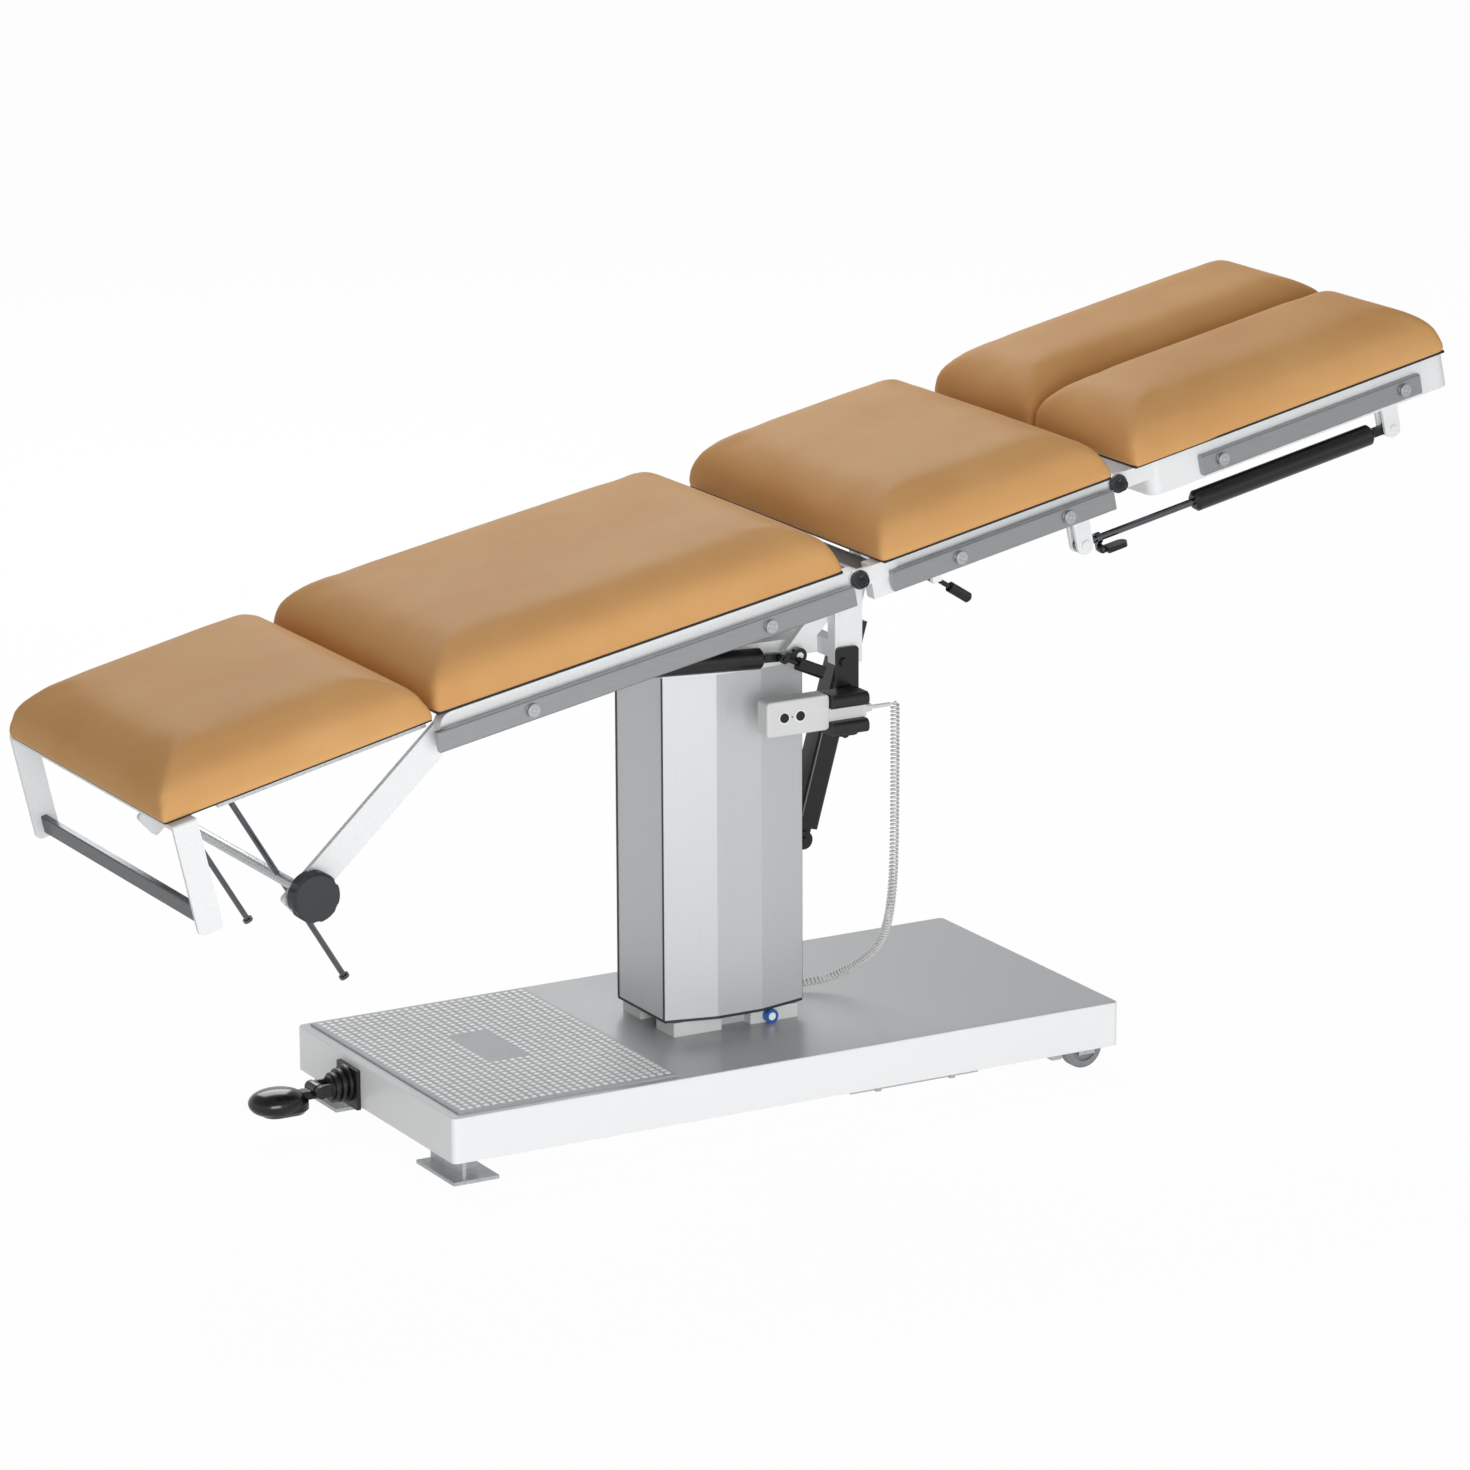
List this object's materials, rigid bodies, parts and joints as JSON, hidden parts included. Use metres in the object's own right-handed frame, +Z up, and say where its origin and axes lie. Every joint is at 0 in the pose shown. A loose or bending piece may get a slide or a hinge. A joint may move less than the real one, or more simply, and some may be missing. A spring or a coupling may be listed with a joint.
{
  "type": "operating table",
  "caption": "Operating table: lifting column on a low wheeled base, tilting seat, folding back, head rest and split leg sections, all with tan cushions and side rails",
  "frame": {"origin": "on the floor under the middle of the overall length, on the centre plane of the width", "axes": "+X from the head end to the leg end, +Y towards the patient's left side when lying on the back, +Z up"},
  "size_m": [1.9886, 0.55, 1.0327],
  "materials": {
    "white_paint": "satin white stove enamel",
    "grey_paint": "satin grey enamel",
    "silver_paint": "silver enamel",
    "anodised": "brushed and anodised",
    "steel": "brushed",
    "chrome": "polished",
    "vinyl": "smooth tan upholstery vinyl",
    "rubber_grey": "matt studded rubber",
    "rubber_black": "glossy black rubber",
    "black_plastic": "gloss black",
    "dark_plastic": "dark grey, matt",
    "light_plastic": "light grey, fine texture",
    "blue_plastic": "blue, matt",
    "black_steel": "black enamel",
    "wheel_rubber": "dark grey tread"
  },
  "bodies": {
    "base": {"base_housing": "white_paint", "tread_mat": "rubber_grey", "floor_feet": "steel", "base_brackets": "steel", "pedal_boot": "rubber_black", "inner_column": "anodised", "column_plinth_blocks": "light_plastic", "lift_motor": "black_steel", "earth_socket": "blue_plastic", "cord_gland": "dark_plastic", "handset_cord": "light_plastic"},
    "wheel_right": {"rear_wheel_right": "wheel_rubber"},
    "wheel_left": {"rear_wheel_left": "wheel_rubber"},
    "pedal": {"foot_pedal": "black_plastic"},
    "linkage": {"brake_linkage": "steel"},
    "lift": {"lift_spindle": "steel", "column_side_panels": "anodised", "column_end_panels": "anodised", "column_trims": "dark_plastic", "tilt_carrier": "silver_paint", "holder_plate": "steel", "handset_fork": "light_plastic", "handset": "light_plastic", "cord_strain_relief": "dark_plastic", "actuator_foot": "grey_paint"},
    "button_down": {"handset_button_down": "black_plastic"},
    "button_up": {"handset_button_up": "black_plastic"},
    "actuator_tube": {"tilt_actuator_tube": "grey_paint"},
    "actuator_rod": {"tilt_actuator_rod": "chrome"},
    "seat": {"seat_frame": "silver_paint", "hinge_shafts": "steel", "seat_rails": "steel", "seat_cushion": "vinyl"},
    "seat_lever": {"seat_lever": "black_plastic"},
    "back": {"back_frame": "silver_paint", "back_rails": "steel", "back_cushion": "vinyl", "head_arms": "silver_paint"},
    "back_spring_tube": {"back_spring_tube": "black_steel"},
    "back_spring_rod": {"back_spring_rod": "chrome"},
    "back_release_lever": {"back_release_lever": "black_plastic"},
    "head_swivel": {"head_shaft": "steel"},
    "head_knob": {"head_knob": "dark_plastic"},
    "head": {"head_plate": "steel", "head_cushion": "vinyl", "head_rods": "chrome", "head_bracket": "silver_paint", "head_rail": "steel"},
    "leg_right": {"leg_frame_right": "silver_paint", "leg_cushion_right": "vinyl", "leg_rail_right": "steel"},
    "leg_spring_tube_right": {"leg_spring_right_tube": "black_steel"},
    "leg_spring_rod_right": {"leg_spring_right_rod": "chrome"},
    "leg_release_right": {"leg_release_right": "black_plastic"},
    "leg_left": {"leg_frame_left": "silver_paint", "leg_cushion_left": "vinyl", "leg_rail_left": "steel"},
    "leg_spring_tube_left": {"leg_spring_left_tube": "black_steel"},
    "leg_spring_rod_left": {"leg_spring_left_rod": "chrome"},
    "leg_release_left": {"leg_release_left": "black_plastic"}
  },
  "joints": [
    {"name": "column_lift", "type": "slide", "parent": "base", "child": "lift", "axis": [0, 0, 1], "range_m": [0, 0.28], "deforming": ["handset_cord"]},
    {"name": "top_tilt", "type": "hinge", "parent": "lift", "child": "seat", "pos_m": [0.0971, 0, 0.705], "axis": [0, 1, 0], "range_deg": [-6, 18]},
    {"name": "back_lift", "type": "hinge", "parent": "seat", "child": "back", "pos_m": [0.0316, 0, 0.761], "axis": [0, 1, 0], "range_deg": [0, 55]},
    {"name": "head_swivel", "type": "hinge", "parent": "back", "child": "head_swivel", "pos_m": [-0.7814, 0, 0.4365], "axis": [0, 1, 0], "range_deg": [-40, 0]},
    {"name": "head_slide", "type": "slide", "parent": "head_swivel", "child": "head", "axis": [-0.518, 0, 0.8554], "range_m": [0, 0.14]},
    {"name": "head_knob_turn", "type": "hinge", "parent": "head_swivel", "child": "head_knob", "pos_m": [-0.7814, -0.253, 0.4365], "axis": [0, 1, 0], "range_deg": [-90, 90]},
    {"name": "leg_fold_right", "type": "hinge", "parent": "seat", "child": "leg_right", "pos_m": [0.44077, -0.24, 0.84648], "axis": [0, 1, 0], "range_deg": [0, 70]},
    {"name": "leg_fold_left", "type": "hinge", "parent": "seat", "child": "leg_left", "pos_m": [0.44077, 0.24, 0.84648], "axis": [0, 1, 0], "range_deg": [0, 70]},
    {"name": "actuator_swing", "type": "hinge", "parent": "lift", "child": "actuator_tube", "pos_m": [0.0856, 0, 0.33], "axis": [0, 1, 0], "range_deg": [-0.62, 1.45]},
    {"name": "actuator_stroke", "type": "slide", "parent": "actuator_tube", "child": "actuator_rod", "axis": [0.2694, 0, 0.963], "range_m": [-0.0296, 0.0102]},
    {"name": "back_spring_swing", "type": "hinge", "parent": "seat", "child": "back_spring_tube", "pos_m": [0.0226, -0.112, 0.625], "axis": [0, 1, 0], "range_deg": [-0.2, 47.99]},
    {"name": "back_spring_stroke", "type": "slide", "parent": "back_spring_tube", "child": "back_spring_rod", "axis": [-0.9985, 0, 0.0553], "range_m": [-0.0005, 0.1204]},
    {"name": "leg_spring_swing_right", "type": "hinge", "parent": "leg_right", "child": "leg_spring_tube_right", "pos_m": [0.90389, -0.24, 0.87111], "axis": [0, 1, 0], "range_deg": [-2.92, 0.2]},
    {"name": "leg_spring_stroke_right", "type": "slide", "parent": "leg_spring_tube_right", "child": "leg_spring_rod_right", "axis": [-0.9778, 0, -0.2096], "range_m": [-0.107, 0.0005]},
    {"name": "leg_release_pull_right", "type": "hinge", "parent": "leg_spring_rod_right", "child": "leg_release_right", "pos_m": [0.42478, -0.2475, 0.75408], "axis": [0, 1, 0], "range_deg": [-10, 0], "stiffness_Nm_per_rad": 0.6, "springref_deg": 17.19},
    {"name": "leg_spring_swing_left", "type": "hinge", "parent": "leg_left", "child": "leg_spring_tube_left", "pos_m": [0.90389, 0.24, 0.87111], "axis": [0, 1, 0], "range_deg": [-2.92, 0.2]},
    {"name": "leg_spring_stroke_left", "type": "slide", "parent": "leg_spring_tube_left", "child": "leg_spring_rod_left", "axis": [-0.9778, 0, -0.2096], "range_m": [-0.107, 0.0005]},
    {"name": "leg_release_pull_left", "type": "hinge", "parent": "leg_spring_rod_left", "child": "leg_release_left", "pos_m": [0.42478, 0.2475, 0.75408], "axis": [0, 1, 0], "range_deg": [-10, 0], "stiffness_Nm_per_rad": 0.6, "springref_deg": 17.19},
    {"name": "seat_lever_pull", "type": "hinge", "parent": "seat", "child": "seat_lever", "pos_m": [0.1663, -0.224, 0.74215], "axis": [0, 1, 0], "range_deg": [-20, 0], "stiffness_Nm_per_rad": 0.8, "springref_deg": 17.19},
    {"name": "back_release_pull", "type": "hinge", "parent": "back_spring_tube", "child": "back_release_lever", "pos_m": [-0.00735, -0.124, 0.62666], "axis": [0, 1, 0], "range_deg": [-15, 0], "stiffness_Nm_per_rad": 0.8, "springref_deg": 17.19},
    {"name": "button_press_down", "type": "slide", "parent": "lift", "child": "button_down", "axis": [0, 1, 0], "range_m": [0, 0.0012], "stiffness_N_per_m": 400, "springref_m": -0.0008},
    {"name": "button_press_up", "type": "slide", "parent": "lift", "child": "button_up", "axis": [0, 1, 0], "range_m": [0, 0.0012], "stiffness_N_per_m": 400, "springref_m": -0.0008},
    {"name": "pedal_press", "type": "hinge", "parent": "base", "child": "pedal", "pos_m": [-0.6309, 0.072, 0.057], "axis": [0, 1, 0], "range_deg": [-12, 0]},
    {"name": "linkage_push", "type": "slide", "parent": "base", "child": "linkage", "axis": [1, 0, 0], "range_m": [-0.0002, 0.0092]},
    {"name": "wheel_roll_right", "type": "hinge", "parent": "base", "child": "wheel_right", "pos_m": [0.4211, -0.212, 0.03], "axis": [0, 1, 0], "continuous": true},
    {"name": "wheel_roll_left", "type": "hinge", "parent": "base", "child": "wheel_left", "pos_m": [0.4211, 0.212, 0.03], "axis": [0, 1, 0], "continuous": true}
  ],
  "couplings": [
    {"joint": "actuator_swing", "follows": "top_tilt", "ratio": 0.06954},
    {"joint": "actuator_stroke", "follows": "top_tilt", "m_per_rad": -0.09252},
    {"joint": "back_spring_swing", "follows": "back_lift", "ratio": 0.86888},
    {"joint": "back_spring_stroke", "follows": "back_lift", "m_per_rad": 0.12492},
    {"joint": "linkage_push", "follows": "pedal_press", "m_per_rad": -0.04297},
    {"joint": "leg_spring_swing_right", "follows": "leg_fold_right", "ratio": -0.03885},
    {"joint": "leg_spring_stroke_right", "follows": "leg_fold_right", "m_per_rad": -0.087211},
    {"joint": "leg_spring_swing_left", "follows": "leg_fold_left", "ratio": -0.03885},
    {"joint": "leg_spring_stroke_left", "follows": "leg_fold_left", "m_per_rad": -0.087211}
  ]
}
